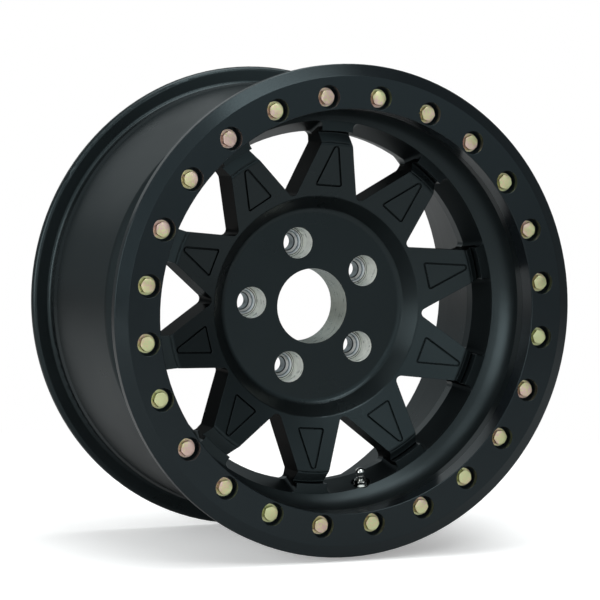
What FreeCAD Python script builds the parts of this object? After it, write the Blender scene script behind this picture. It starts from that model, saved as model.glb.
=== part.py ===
import FreeCAD, Part
import Sketcher
import math
import os

# A one-piece cast wheel with a clamp ring bolted to its front, and its metal air valve.
# The wheel spins about Y. The origin is the centre of the hub's mounting face, and the front looks to -Y.
# Millimetres throughout. Places along the axle are worked out from the mounting face, forward is minus.

document = FreeCAD.newDocument("wheel")
dims = document.addObject("Spreadsheet::Sheet", "dims")

sizes = {
    # hub
    "bore_r": 36.55,
    "bore_chamfer": 4.0,
    "hub_thick": 42.7,
    "hub_face_r": 94.3,
    "hub_round": 7.0,
    "mount_pad_r": 80.0,
    "mount_bevel": 3.0,
    # lug holes
    "lug_count": 5,
    "lug_circle_r": 63.5,
    "lug_pocket_r": 15.0,
    "lug_pocket_depth": 23.0,
    "lug_seat_r": 12.8,
    "lug_hole_r": 8.0,
    "lug_seat_depth": 8.3,
    # spokes
    "spoke_count": 10,
    "step_run": 13.2,
    "spoke_step": 15.3,
    "step_round": 2.5,
    "dish_rise": 18.2,
    "spoke_half": 16.0,
    "crest_round": 4.0,
    "crest_run": 10.7,
    "valley_width": 8.9,
    "valley_drop": 12.0,
    "valley_round": 4.0,
    "pad_width": 1.9,
    "pad_drop": 5.0,
    "spoke_depth": 35.0,
    "root_depth": 43.0,
    "root_lap": 7.0,
    # windows between the spokes
    "window_start": 3.3,
    "elbow_depth": 23.9,
    "window_round": 5.0,
    "window_back": 50.0,
    "window_taper": 9.8,
    # triangular groove on each spoke
    "groove_start": 9.9,
    "groove_end": 3.0,
    "groove_lead": 1.0,
    "groove_half": 13.6,
    "groove_tip_round": 3.4,
    "groove_base_round": 2.4,
    "groove_width": 1.8,
    "groove_depth": 1.3,
    # barrel
    "seat_r": 218.3,
    "seat_length": 11.0,
    "shelf_front": 119.8,
    "lip_depth": 26.9,
    "lip_band": 12.7,
    "lip_edge": 74.4,
    "bowl_depth": 11.1,
    "bowl_round": 53.0,
    "register_depth": 5.3,
    "bead_room": 18.8,
    "shoulder_rise": 0.3,
    "shoulder_width": 6.0,
    "drop_depth": 26.3,
    "drop_front": 80.0,
    "drop_length": 46.0,
    "ramp_depth": 15.3,
    "ramp_length": 18.0,
    "drop_round": 8.0,
    "barrel_wall": 6.0,
    "mouth_depth": 1.0,
    "hump_rise": 1.7,
    "hump_foot": 1.8,
    "hump_width": 5.0,
    "flange_back": 122.0,
    "flange_thick": 10.5,
    "flange_height": 18.3,
    "flange_round": 4.5,
    "flange_root_round": 4.0,
    # clamp ring and its bolts
    "ring_thick": 19.7,
    "ring_height": 14.4,
    "ring_bevel": 5.5,
    "ring_bevel_width": 11.4,
    "ring_edge": 8.0,
    "ring_back_step": 5.2,
    "ring_lap": 1.0,
    "ring_edge_round": 0.8,
    "bolt_count": 24,
    "bolt_depth": 15.5,
    "bolt_phase": 7.5,
    "ring_hole_r": 4.6,
    "ring_pocket_r": 11.0,
    "ring_pocket_depth": 11.0,
    "washer_r": 8.75,
    "washer_hole_r": 4.4,
    "washer_thick": 1.7,
    "bolt_r": 3.9,
    "bolt_length": 26.0,
    "bolt_tip": 1.0,
    "head_flats": 12.7,
    "head_height": 5.4,
    "head_crown": 3.6,
    "thread_gap": 0.15,
    "thread_spare": 3.0,
    # air valve
    "valve_turn": 75.6,
    "valve_front": 67.0,
    "valve_hole_r": 5.65,
    "valve_spot": 2.0,
    "valve_pocket_r": 9.5,
    "valve_back_spot": 4.2,
    "valve_washer_r": 7.6,
    "valve_washer_thick": 1.5,
    "valve_nut_flats": 11.0,
    "valve_nut_height": 4.2,
    "valve_nut_turn": 23.0,
    "stem_r": 3.9,
    "stem_reach": 15.6,
    "stem_thread_r": 3.6,
    "stem_thread_length": 5.0,
    "stem_neck_r": 2.9,
    "stem_neck_length": 4.0,
    "stem_head_r": 7.0,
    "stem_head_thick": 4.0,
    "stem_gap": 0.15,
    "seal_r": 8.0,
    "seal_thick": 2.0,
    "seal_clear": 1.4,
    "core_r": 1.9,
    "core_length": 12.0,
    "core_set": 0.8,
    "pin_r": 0.6,
    "pin_gap": 0.15,
    "pin_length": 15.0,
    "passage_r": 1.3,
    "cap_r": 4.6,
    "cap_length": 6.4,
    "cap_wall": 0.8,
    "cap_end": 2.4,
    "cap_room": 0.6,
    "cap_dome": 2.4,
    "cap_dome_r": 5.6,
}

for row, (alias, value) in enumerate(sizes.items(), start=1):
    dims.set("A%d" % row, alias)
    dims.set("B%d" % row, str(value))
    dims.setAlias("B%d" % row, alias)
document.recompute()


# Every length by name: its value, and the expression that gives it from the sheet.
lengths = {alias: (value, "dims." + alias) for alias, value in sizes.items()}


# The value of a sum such as "-hub_thick - spoke_step + 2 * hump_width".
def amount(text):
    total = 0.0
    for term in text.replace("-", "+-").split("+"):
        if not term.strip():
            continue
        product = 1.0
        for word in term.replace("-", "-1 * ").split("*"):
            name = word.strip()
            product *= lengths[name][0] if name in lengths else float(name)
        total += product
    return total


# The same sum as an expression that reads the sheet.
def bound(text):
    words = text.replace("-", " - ").replace("+", " + ").split()
    return " ".join(lengths[word][1] if word in lengths else word for word in words)


# Radii, each worked out from its neighbour: the bead seat carries the rim, the ring and the spokes' ends.
for name, text in (
    ("spoke_start_r", "hub_face_r + step_run"),
    ("lip_r", "seat_r - lip_depth"),
    ("window_r", "lip_r - bowl_depth"),
    ("pad_r", "window_r - pad_width"),
    ("valley_r", "pad_r - valley_width"),
    ("crest_r", "valley_r - crest_run"),
    ("window_inner", "spoke_start_r + window_start"),
    ("window_elbow", "window_r - elbow_depth"),
    ("window_back_r", "window_r - window_taper"),
    ("register_r", "seat_r - register_depth"),
    ("shoulder_r", "seat_r + shoulder_rise"),
    ("drop_r", "seat_r - drop_depth"),
    ("ramp_r", "seat_r - ramp_depth"),
    ("hump_r", "seat_r + hump_rise"),
    ("flange_r", "seat_r + flange_height"),
    ("ring_r", "seat_r + ring_height"),
    ("ring_face_r", "ring_r - ring_bevel_width"),
    ("ring_back_r", "ring_r - ring_back_step"),
    ("ring_in_r", "lip_r - ring_lap"),
    ("bolt_circle_r", "seat_r - bolt_depth"),
    ("taper_run", "lip_edge - window_back"),
    ("valve_inset", "lip_edge - valve_front"),
):
    lengths[name] = (amount(text), "(" + bound(text) + ")")

# Half a step between spokes, the window's half width at its elbows, and the spoke's length along its dish.
half_step = math.pi / sizes["spoke_count"]
half_turn = "(180 deg / dims.spoke_count)"
elbow_half = amount("window_elbow") * math.tan(half_step) - amount("spoke_half") / math.cos(half_step)
elbow_rule = bound("window_elbow") + " * tan(" + half_turn + ") - dims.spoke_half / cos(" + half_turn + ")"
lengths["elbow_half"] = (elbow_half, "(" + elbow_rule + ")")
dish_run = bound("crest_r") + " - " + bound("spoke_start_r")
dish_length = math.hypot(amount("crest_r - spoke_start_r"), amount("dish_rise"))
lengths["dish_length"] = (dish_length, "sqrt((" + dish_run + ") ^ 2 + dims.dish_rise ^ 2)")

# The valve stands square on the windows' tapered outer wall: its lean, where it crosses that wall, and how far
# along its own line the flat spot on the rim's outside lies.
lean = math.atan(amount("window_taper") / amount("taper_run"))
lean_rule = "atan(dims.window_taper / " + bound("taper_run") + ")"
valve_r = amount("window_r") - amount("valve_inset") * math.tan(lean)
valve_rule = bound("window_r") + " - " + bound("valve_inset") + " * tan(" + lean_rule + ")"
lengths["valve_r"] = (valve_r, "(" + valve_rule + ")")
valve_back = amount("drop_r - valve_r") / math.cos(lean) - amount("valve_back_spot")
back_rule = "(" + bound("drop_r - valve_r") + ") / cos(" + lean_rule + ") - dims.valve_back_spot"
lengths["valve_back"] = (valve_back, "(" + back_rule + ")")


def new_body(label):
    body = document.addObject("PartDesign::Body", label)
    body.Label = label
    return body


def origin_feature(body, role):
    return [item for item in body.Origin.OriginFeatures if item.Role == role][0]


def new_sketch(body, plane, name):
    sketch = body.newObject("Sketcher::SketchObject", body.Label + "_" + name)
    sketch.AttachmentSupport = (origin_feature(body, plane), [""])
    sketch.MapMode = "FlatFace"
    return sketch


# Lift a sketch off its plane, and turn it about one of the plane's own axes.
def lift(sketch, height, turn="0", axis=FreeCAD.Vector(0, 0, 1)):
    sketch.AttachmentOffset = FreeCAD.Placement(FreeCAD.Vector(0, 0, 0), FreeCAD.Rotation(axis, 1))
    sketch.setExpression("AttachmentOffset.Base.z", height)
    sketch.setExpression("AttachmentOffset.Rotation.Angle", turn)
    document.recompute()


# Hold one end of a line or arc at a place that follows the sheet.
def hold(sketch, geometry, end, across, up):
    for kind, text in (("DistanceX", across), ("DistanceY", up)):
        if text is None:
            continue
        index = sketch.addConstraint(Sketcher.Constraint(kind, -1, 1, geometry, end, amount(text)))
        sketch.setExpression("Constraints[%d]" % index, bound(text))


def size_of(sketch, kind, geometry, text):
    index = sketch.addConstraint(Sketcher.Constraint(kind, geometry, amount(text)))
    sketch.setExpression("Constraints[%d]" % index, bound(text))


# A closed outline through the corners. A third entry makes the side that ends there an arc of that radius,
# turning clockwise.
def outline(body, plane, name, corners):
    sketch = new_sketch(body, plane, name)
    places = [FreeCAD.Vector(amount(corner[0]), amount(corner[1]), 0) for corner in corners]
    ends = []
    for index, corner in enumerate(corners):
        start = places[index - 1]
        end = places[index]
        if len(corner) == 2:
            geometry = sketch.addGeometry(Part.LineSegment(start, end), False)
            ends.append((geometry, 1, 2))
            continue
        radius = amount(corner[2])
        chord = end - start
        side = FreeCAD.Vector(chord.y, -chord.x, 0).normalize()
        rise = math.sqrt(radius ** 2 - chord.Length ** 2 / 4)
        middle = start + chord * 0.5 - side * (radius - rise)
        geometry = sketch.addGeometry(Part.Arc(start, middle, end), False)
        size_of(sketch, "Radius", geometry, corner[2])
        ends.append((geometry, 2, 1))
    for index, corner in enumerate(corners):
        geometry, first, last = ends[index]
        following = ends[(index + 1) % len(corners)]
        sketch.addConstraint(Sketcher.Constraint("Coincident", geometry, last, following[0], following[1]))
        hold(sketch, geometry, last, corner[0], corner[1])
    return sketch


def revolve(body, name, sketch, axis, kind="Revolution"):
    feature = body.newObject("PartDesign::" + kind, body.Label + "_" + name)
    feature.Profile = sketch
    feature.ReferenceAxis = (sketch, [axis])
    feature.Angle = 360
    sketch.Visibility = False
    document.recompute()
    return feature


# A straight line beside the outline that a cut turns about: it becomes the sketch's own first axis.
def turning_line(sketch, start, end):
    places = [FreeCAD.Vector(amount(point[0]), amount(point[1]), 0) for point in (start, end)]
    geometry = sketch.addGeometry(Part.LineSegment(*places), True)
    hold(sketch, geometry, 1, *start)
    hold(sketch, geometry, 2, *end)
    return "Axis0"


# A straight cut from a sketch towards the back, or towards the front, right through where no depth is given.
def pocket(body, name, sketch, depth=None, forward=False):
    feature = body.newObject("PartDesign::Pocket", body.Label + "_" + name)
    feature.Profile = sketch
    feature.Reversed = forward
    if depth is None:
        feature.Type = "ThroughAll"
    else:
        feature.setExpression("Length", bound(depth))
    sketch.Visibility = False
    document.recompute()
    return feature


def pad(body, name, sketch, length):
    feature = body.newObject("PartDesign::Pad", body.Label + "_" + name)
    feature.Profile = sketch
    feature.setExpression("Length", bound(length))
    sketch.Visibility = False
    document.recompute()
    return feature


# Repeat features about the axle, or the whole body where none is named.
def around(body, name, features, count):
    pattern = body.newObject("PartDesign::PolarPattern", body.Label + "_" + name)
    if features:
        pattern.Originals = features
    else:
        pattern.TransformMode = "Whole shape"
    pattern.Axis = (origin_feature(body, "Y_Axis"), [""])
    pattern.Angle = 360
    pattern.setExpression("Occurrences", bound(count))
    body.Tip = pattern
    document.recompute()


# The round edges of a feature that lie at the given radius and place along the Y axis.
def round_edges(feature, places):
    found = []
    for index, edge in enumerate(feature.Shape.Edges, start=1):
        if not isinstance(edge.Curve, Part.Circle):
            continue
        for radius, along in places:
            near = abs(edge.Curve.Radius - amount(radius)) < 0.01
            if near and abs(edge.Curve.Center.y - amount(along)) < 0.01:
                found.append("Edge%d" % index)
    return found


def dress(body, name, kind, base, edges, size):
    feature = body.newObject("PartDesign::" + kind, body.Label + "_" + name)
    feature.Base = (base, edges)
    feature.setExpression("Radius" if kind == "Fillet" else "Size", bound(size))
    document.recompute()
    return feature


hub_front = "-hub_thick"
spoke_front = "-hub_thick - spoke_step"
crest_front = "-hub_thick - spoke_step - dish_rise"
valley_floor = crest_front + " + valley_drop"
shelf = "-shelf_front"
shoulder_front = "-shelf_front + bead_room"
drop_back = "-drop_front + drop_length"
ramp_back = drop_back + " + ramp_length"
flange_front = "flange_back - flange_thick"
hump_front = flange_front + " - seat_length - 2 * hump_width"
ring_face = "-shelf_front - ring_thick"
ring_floor = ring_face + " + ring_pocket_depth"


# Wheel body: hub, spokes and barrel, cast in one piece.
wheel = new_body("wheel_body")
disc_outline = outline(wheel, "XY_Plane", "disc_outline", [
    ("bore_r", hub_front),
    ("hub_face_r", hub_front),
    ("spoke_start_r", spoke_front),
    ("crest_r", crest_front),
    ("valley_r", valley_floor),
    ("pad_r", valley_floor),
    ("pad_r", crest_front + " + pad_drop"),
    ("window_r + root_lap", crest_front + " + pad_drop"),
    ("window_r + root_lap", crest_front + " + root_depth"),
    ("crest_r", crest_front + " + spoke_depth"),
    ("spoke_start_r", spoke_front + " + spoke_depth"),
    ("mount_pad_r + mount_bevel", "-mount_bevel"),
    ("mount_pad_r", "0"),
    ("bore_r", "0"),
])
disc = revolve(wheel, "disc", disc_outline, "V_Axis")
for name, radius, place in (
    ("hub_round", "hub_face_r", hub_front),
    ("step_round", "spoke_start_r", spoke_front),
    ("crest_round", "crest_r", crest_front),
    ("valley_round", "valley_r", valley_floor),
):
    disc = dress(wheel, name, "Fillet", disc, round_edges(disc, [(radius, place)]), name)
bore_edges = round_edges(disc, [("bore_r", "0")])
disc = dress(wheel, "bore_chamfer", "Chamfer", disc, bore_edges, "bore_chamfer")


# The point where a line from a place outside touches a circle, on the side that lies to the left.
def touch(place, centre, radius):
    reach = place - centre
    turn = math.atan2(reach.y, reach.x) + math.acos(radius / reach.Length)
    return centre + FreeCAD.Vector(math.cos(turn), math.sin(turn), 0) * radius


def mirrored(place):
    return FreeCAD.Vector(place.x, -place.y, 0)


# The barrel, from the shelf under the clamp ring round to the bowl behind it.
barrel_outline = outline(wheel, "XY_Plane", "barrel_outline", [
    ("lip_r", shelf),
    ("register_r", shelf),
    ("register_r", shoulder_front),
    ("shoulder_r", shoulder_front),
    ("shoulder_r", shoulder_front + " + shoulder_width"),
    ("drop_r", "-drop_front"),
    ("drop_r", drop_back),
    ("ramp_r", ramp_back),
    ("hump_r - hump_foot", hump_front),
    ("hump_r", hump_front + " + hump_width"),
    ("seat_r", hump_front + " + 2 * hump_width"),
    ("seat_r", flange_front),
    ("flange_r", flange_front),
    ("flange_r", "flange_back"),
    ("seat_r - mouth_depth", "flange_back"),
    ("hump_r - hump_foot - barrel_wall", hump_front),
    ("ramp_r - barrel_wall", ramp_back),
    ("drop_r - barrel_wall", drop_back),
    ("window_back_r", "-window_back"),
    ("window_back_r", "-lip_edge"),
    ("window_r", "-lip_edge"),
    ("lip_r", shelf + " + lip_band", "bowl_round"),
])
barrel = revolve(wheel, "barrel", barrel_outline, "V_Axis")
flange_edges = round_edges(barrel, [("flange_r", flange_front), ("flange_r", "flange_back")])
barrel = dress(wheel, "flange_round", "Fillet", barrel, flange_edges, "flange_round")
flange_root = round_edges(barrel, [("seat_r", flange_front)])
barrel = dress(wheel, "flange_root_round", "Fillet", barrel, flange_root, "flange_root_round")
drop_edges = round_edges(barrel, [("drop_r", "-drop_front"), ("drop_r", drop_back), ("ramp_r", ramp_back)])
barrel = dress(wheel, "drop_round", "Fillet", barrel, drop_edges, "drop_round")


# One end of a window, drawn about the line that points at its middle: a round inner end, two sides that
# spread to the elbows, two that run along the spokes, and round corners against the barrel.
def window_end(name, outer, height):
    sketch = new_sketch(wheel, "XZ_Plane", name)
    rounding = amount("window_round")
    along = FreeCAD.Vector(math.cos(half_step), math.sin(half_step), 0)
    inward = FreeCAD.Vector(along.y, -along.x, 0)
    elbow = FreeCAD.Vector(amount("window_elbow"), amount("elbow_half"), 0)
    inner_centre = FreeCAD.Vector(amount("window_inner + window_round"), 0, 0)
    inner_touch = touch(elbow, inner_centre, rounding)
    inset = elbow + inward * rounding
    reach = inset.dot(along)
    run = math.sqrt(reach ** 2 + (amount(outer) - rounding) ** 2 - inset.Length ** 2) - reach
    corner_centre = inset + along * run
    corner_side = corner_centre - inward * rounding
    corner_out = corner_centre * (amount(outer) / corner_centre.Length)
    corner_middle = corner_centre + (corner_side + corner_out - corner_centre * 2).normalize() * rounding
    for side in (
        Part.Arc(inner_touch, inner_centre - FreeCAD.Vector(rounding, 0, 0), mirrored(inner_touch)),
        Part.LineSegment(inner_touch, elbow),
        Part.LineSegment(elbow, corner_side),
        Part.Arc(corner_out, corner_middle, corner_side),
        Part.Arc(mirrored(corner_out), FreeCAD.Vector(amount(outer), 0, 0), corner_out),
        Part.Arc(mirrored(corner_side), mirrored(corner_middle), mirrored(corner_out)),
        Part.LineSegment(mirrored(elbow), mirrored(corner_side)),
        Part.LineSegment(mirrored(inner_touch), mirrored(elbow)),
    ):
        sketch.addGeometry(side, False)
    for ends in ((0, 1, 1, 1), (0, 2, 7, 1), (2, 2, 3, 2), (3, 1, 4, 2), (4, 1, 5, 2), (5, 1, 6, 2)):
        sketch.addConstraint(Sketcher.Constraint("Tangent", *ends))
    for ends in ((1, 2, 2, 1), (7, 2, 6, 1), (4, 3, -1, 1)):
        sketch.addConstraint(Sketcher.Constraint("Coincident", *ends))
    for arc in (0, 3, 5):
        size_of(sketch, "Radius", arc, "window_round")
    size_of(sketch, "Radius", 4, outer)
    hold(sketch, 0, 3, "window_inner + window_round", "0")
    hold(sketch, 2, 1, "window_elbow", "elbow_half")
    hold(sketch, 6, 1, "window_elbow", "-elbow_half")
    for line, sign in ((2, ""), (6, "-")):
        turn = half_step if sign == "" else -half_step
        slope = sketch.addConstraint(Sketcher.Constraint("Angle", line, turn))
        sketch.setExpression("Constraints[%d]" % slope, sign + half_turn)
    lift(sketch, bound(height))
    return sketch


# Each window opens towards the front: its outer wall leans in from the bowl to the back edge.
front_end = window_end("window_front", "window_r", "lip_edge")
back_end = window_end("window_back", "window_back_r", "window_back")
mouth = pocket(wheel, "window_mouth", front_end, forward=True)
throat = wheel.newObject("PartDesign::SubtractiveLoft", "wheel_body_window_throat")
throat.Profile = front_end
throat.Sections = [back_end]
throat.Ruled = True
document.recompute()
rear = pocket(wheel, "window_rear", back_end)
around(wheel, "windows", [mouth, throat, rear], "spoke_count")


# The groove round the panel of one spoke, drawn on the plane that lies along the spoke's dished front and
# measured outwards along that slope from where the spoke starts. The cut leads in from above the face,
# which curves up beside the middle of the spoke.
groove_sketch = new_sketch(wheel, "XZ_Plane", "groove_outline")
dish_angle = "atan(dims.dish_rise / (" + dish_run + "))"
lift(groove_sketch, bound("hub_thick + spoke_step + groove_lead"), dish_angle, FreeCAD.Vector(1, 0, 0))
groove_sketch.setExpression("AttachmentOffset.Base.y", bound("spoke_start_r"))


# A closed triangle with round corners, from its three corner circles, anticlockwise.
def round_triangle(sketch, circles):
    centres = [FreeCAD.Vector(amount(across), amount(up), 0) for across, up, radius in circles]
    radii = [amount(radius) for across, up, radius in circles]
    out = []
    for index in range(3):
        chord = centres[(index + 1) % 3] - centres[index]
        lean = math.acos((radii[index] - radii[(index + 1) % 3]) / chord.Length)
        turn = math.atan2(chord.y, chord.x) - lean
        out.append(FreeCAD.Vector(math.cos(turn), math.sin(turn), 0))
    lines = []
    arcs = []
    for index in range(3):
        following = (index + 1) % 3
        start = centres[index] + out[index] * radii[index]
        end = centres[following] + out[index] * radii[following]
        lines.append(sketch.addGeometry(Part.LineSegment(start, end), False))
        middle = centres[index] + (out[index - 1] + out[index]).normalize() * radii[index]
        before = centres[index] + out[index - 1] * radii[index]
        arcs.append(sketch.addGeometry(Part.Arc(before, middle, start), False))
    for index in range(3):
        following = (index + 1) % 3
        sketch.addConstraint(Sketcher.Constraint("Tangent", arcs[index], 2, lines[index], 1))
        sketch.addConstraint(Sketcher.Constraint("Tangent", lines[index], 2, arcs[following], 1))
        hold(sketch, arcs[index], 3, circles[index][0], circles[index][1])
        size_of(sketch, "Radius", arcs[index], circles[index][2])


for inset in ("", " - groove_width"):
    round_triangle(groove_sketch, [
        ("-groove_half + groove_base_round", "groove_start + groove_base_round", "groove_base_round" + inset),
        ("groove_half - groove_base_round", "groove_start + groove_base_round", "groove_base_round" + inset),
        ("0", "dish_length - groove_end - groove_tip_round", "groove_tip_round" + inset),
    ])
groove = pocket(wheel, "groove", groove_sketch, "groove_lead + groove_depth")
around(wheel, "grooves", [groove], "spoke_count")

# Lug holes: a pocket for the socket, a conical seat for the nut and a hole for the stud.
lug_seat_top = hub_front + " + lug_pocket_depth"
lug_outline = outline(wheel, "XY_Plane", "lug_outline", [
    ("-lug_circle_r", hub_front + " - spoke_step"),
    ("-lug_circle_r + lug_pocket_r", hub_front + " - spoke_step"),
    ("-lug_circle_r + lug_pocket_r", lug_seat_top),
    ("-lug_circle_r + lug_seat_r", lug_seat_top),
    ("-lug_circle_r + lug_hole_r", lug_seat_top + " + lug_seat_depth"),
    ("-lug_circle_r + lug_hole_r", "bore_chamfer"),
    ("-lug_circle_r", "bore_chamfer"),
])
lug_axis = turning_line(lug_outline, ("-lug_circle_r", hub_front), ("-lug_circle_r", "bore_chamfer"))
lug = revolve(wheel, "lug_hole", lug_outline, lug_axis, "Groove")
around(wheel, "lug_holes", [lug], "lug_count")

# The valve's hole through the rim, with a flat spot for the washer inside and one for the seal outside. Places
# are given along the valve's line, from where it crosses the window's wall, and out from that line.
stem_end = "valve_spot - stem_reach"
valve_outline = outline(wheel, "XY_Plane", "valve_outline", [
    (stem_end, "0"),
    (stem_end, "valve_pocket_r"),
    ("valve_spot", "valve_pocket_r"),
    ("valve_spot", "valve_hole_r"),
    ("valve_back", "valve_hole_r"),
    ("valve_back", "valve_pocket_r"),
    ("valve_back + stem_reach", "valve_pocket_r"),
    ("valve_back + stem_reach", "0"),
])
lift(valve_outline, "0", lean_rule)
valve_outline.setExpression("AttachmentOffset.Base.x", bound("valve_r"))
valve_outline.setExpression("AttachmentOffset.Base.y", bound("-valve_front"))
revolve(wheel, "valve_hole", valve_outline, "H_Axis", "Groove")


# A round outline on a sketch, centred at a place that follows the sheet.
def circle(sketch, across, up, radius):
    centre = FreeCAD.Vector(amount(across), amount(up), 0)
    round_line = Part.Circle(centre, FreeCAD.Vector(0, 0, 1), amount(radius))
    geometry = sketch.addGeometry(round_line, False)
    hold(sketch, geometry, 3, across, up)
    size_of(sketch, "Radius", geometry, radius)


# Threaded holes in the shelf, in line with the ring's bolts.
thread_sketch = new_sketch(wheel, "XZ_Plane", "thread_outline")
lift(thread_sketch, bound("shelf_front"), bound("valve_turn + bolt_phase"))
circle(thread_sketch, "bolt_circle_r", "0", "bolt_r + thread_gap")
bolt_reach = "bolt_length - washer_thick - ring_thick + ring_pocket_depth"
thread = pocket(wheel, "thread", thread_sketch, bolt_reach + " + thread_spare")
around(wheel, "threads", [thread], "bolt_count")


# Turn a finished body about the axle.
def turn_body(body, angle):
    body.Placement = FreeCAD.Placement(FreeCAD.Vector(0, 0, 0), FreeCAD.Rotation(FreeCAD.Vector(0, 1, 0), 1))
    body.setExpression(".Placement.Rotation.Angle", bound(angle))
    document.recompute()


turn_body(wheel, "valve_turn")

# Clamp ring: a bevelled front, a short edge and a flat back that sits on the shelf.
ring = new_body("beadlock_ring")
ring_outline = outline(ring, "XY_Plane", "outline", [
    ("ring_in_r", ring_face),
    ("ring_face_r", ring_face),
    ("ring_r", ring_face + " + ring_bevel"),
    ("ring_r", ring_face + " + ring_bevel + ring_edge"),
    ("ring_back_r", shelf),
    ("ring_in_r", shelf),
])
hoop = revolve(ring, "hoop", ring_outline, "V_Axis")
hoop_edges = round_edges(hoop, [
    ("ring_in_r", ring_face),
    ("ring_face_r", ring_face),
    ("ring_r", ring_face + " + ring_bevel"),
    ("ring_r", ring_face + " + ring_bevel + ring_edge"),
])
hoop = dress(ring, "edge_round", "Fillet", hoop, hoop_edges, "ring_edge_round")
ring_hole_outline = outline(ring, "XY_Plane", "hole_outline", [
    ("bolt_circle_r", ring_face + " - ring_bevel"),
    ("bolt_circle_r + ring_pocket_r", ring_face + " - ring_bevel"),
    ("bolt_circle_r + ring_pocket_r", ring_floor),
    ("bolt_circle_r + ring_hole_r", ring_floor),
    ("bolt_circle_r + ring_hole_r", shelf + " + ring_bevel"),
    ("bolt_circle_r", shelf + " + ring_bevel"),
])
ring_line = turning_line(ring_hole_outline, ("bolt_circle_r", ring_face), ("bolt_circle_r", shelf))
ring_hole = revolve(ring, "hole", ring_hole_outline, ring_line, "Groove")
around(ring, "holes", [ring_hole], "bolt_count")
turn_body(ring, "bolt_phase")

# Flat washers on the floors of the ring's pockets.
washers = new_body("beadlock_washers")
washer_sketch = new_sketch(washers, "XZ_Plane", "outline")
lift(washer_sketch, bound("shelf_front + ring_thick - ring_pocket_depth"))
circle(washer_sketch, "bolt_circle_r", "0", "washer_r")
circle(washer_sketch, "bolt_circle_r", "0", "washer_hole_r")
pad(washers, "washer", washer_sketch, "washer_thick")
around(washers, "set", None, "bolt_count")
turn_body(washers, "bolt_phase")


# A six-sided outline, its flats a given distance apart and one pair of them square to the first axis.
def hexagon(body, plane, name, centre, flats):
    edge = "%.6f * %s" % (math.tan(math.pi / 6) / 2, flats)
    tip = "%.6f * %s" % (math.tan(math.pi / 6), flats)
    return outline(body, plane, name, [
        (centre + " + 0.5 * " + flats, "-" + edge),
        (centre + " + 0.5 * " + flats, edge),
        (centre, tip),
        (centre + " - 0.5 * " + flats, edge),
        (centre + " - 0.5 * " + flats, "-" + edge),
        (centre, "-" + tip),
    ])


# Hex bolts through the washers and the ring into the shelf.
bolts = new_body("beadlock_bolts")
head_base = "shelf_front + ring_thick - ring_pocket_depth + washer_thick"
head_top = "-shelf_front - ring_thick + ring_pocket_depth - washer_thick - head_height"
head_sketch = hexagon(bolts, "XZ_Plane", "head_outline", "bolt_circle_r", "head_flats")
lift(head_sketch, bound(head_base))
pad(bolts, "head", head_sketch, "head_height")
crown_outline = outline(bolts, "XY_Plane", "crown_outline", [
    ("bolt_circle_r + 0.5 * head_flats", head_top),
    ("bolt_circle_r + head_flats", head_top),
    ("bolt_circle_r + head_flats", head_top + " + head_crown"),
])
crown_line = turning_line(crown_outline, ("bolt_circle_r", head_top), ("bolt_circle_r", shelf))
revolve(bolts, "crown", crown_outline, crown_line, "Groove")
shank_sketch = new_sketch(bolts, "XZ_Plane", "shank_outline")
lift(shank_sketch, bound(head_base))
circle(shank_sketch, "bolt_circle_r", "0", "bolt_r")
shank = pad(bolts, "shank", shank_sketch, "bolt_length")
shank.Reversed = True
document.recompute()
tip_edges = round_edges(shank, [("bolt_r", head_top + " + head_height + bolt_length")])
dress(bolts, "tip", "Chamfer", shank, tip_edges, "bolt_tip")
around(bolts, "set", None, "bolt_count")
turn_body(bolts, "bolt_phase")


# Set a finished piece of the valve on the rim: leaned with the window's wall, then turned about the axle.
def seat_on_rim(body):
    turn = "placement(vector(0; -dims.valve_front; 0); rotation(vector(0; 1; 0); dims.valve_turn))"
    tilt = "placement(vector(" + bound("valve_r") + "; 0; 0); rotation(vector(0; 0; 1); " + lean_rule + "))"
    body.setExpression("Placement", turn + " * " + tilt)
    document.recompute()


# A piece of the valve, turned about the valve's own line. Outlines give the place along that line, from where
# it crosses the window's wall, and the distance from it.
def turned(label, corners):
    body = new_body(label)
    revolve(body, "turning", outline(body, "XY_Plane", "outline", corners), "H_Axis")
    seat_on_rim(body)


washer_top = "valve_spot - valve_washer_thick"
seal_top = "valve_back + seal_thick"
stem_hole = "stem_r + stem_gap"
core_hole = "core_r + stem_gap"
core_top = stem_end + " + core_set"
neck_start = stem_end + " + stem_thread_length"
neck_stop = neck_start + " + stem_neck_length"
pin_hole = "pin_r + pin_gap"
cap_tip = stem_end + " - cap_room - cap_end"
cap_open = cap_tip + " + cap_length"

turned("valve_washer", [
    (washer_top, stem_hole),
    (washer_top, "valve_washer_r"),
    ("valve_spot", "valve_washer_r"),
    ("valve_spot", stem_hole),
])
turned("valve_seal", [
    ("valve_spot + seal_clear", stem_hole),
    ("valve_spot + seal_clear", "valve_hole_r - stem_gap"),
    ("valve_back", "valve_hole_r - stem_gap"),
    ("valve_back", "seal_r"),
    (seal_top, "seal_r"),
    (seal_top, stem_hole),
])
turned("valve_stem", [
    (stem_end, core_hole),
    (stem_end, "stem_thread_r"),
    (neck_start, "stem_thread_r"),
    (neck_start, "stem_neck_r"),
    (neck_stop, "stem_neck_r"),
    (neck_stop, "stem_r"),
    (seal_top, "stem_r"),
    (seal_top, "stem_head_r"),
    (seal_top + " + stem_head_thick", "stem_head_r"),
    (seal_top + " + stem_head_thick", "passage_r"),
    (core_top + " + core_length", "passage_r"),
    (core_top + " + core_length", core_hole),
])
turned("valve_core", [
    (core_top, pin_hole),
    (core_top, "core_r"),
    (core_top + " + core_length", "core_r"),
    (core_top + " + core_length", pin_hole),
])
turned("valve_pin", [
    (stem_end, "0"),
    (stem_end, "pin_r"),
    (stem_end + " + pin_length", "pin_r"),
    (stem_end + " + pin_length", "0"),
])
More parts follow.
